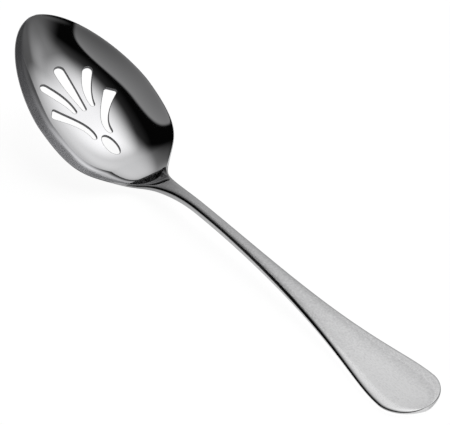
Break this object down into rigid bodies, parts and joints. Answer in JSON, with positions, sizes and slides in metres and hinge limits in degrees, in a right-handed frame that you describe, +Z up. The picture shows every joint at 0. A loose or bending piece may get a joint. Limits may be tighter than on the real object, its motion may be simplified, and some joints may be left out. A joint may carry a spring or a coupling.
{
  "type": "slotted serving spoon",
  "caption": "Serving spoon with an oval tilted bowl pierced by a fan of tapering slots, and a long handle that widens to a rounded end.",
  "frame": {"origin": "middle of the spoon's footprint, on the table that it rests on", "axes": "+X runs from the bowl's tip to the handle's end, +Y is across the spoon, +Z is up, out of the hollow of the bowl"},
  "size_m": [0.2162, 0.0474, 0.0346],
  "materials": {
    "mirror_steel": "mirror polished stainless steel",
    "satin_steel": "satin brushed stainless steel"
  },
  "bodies": {
    "root": {"bowl": "mirror_steel", "handle": "satin_steel"}
  },
  "joints": []
}
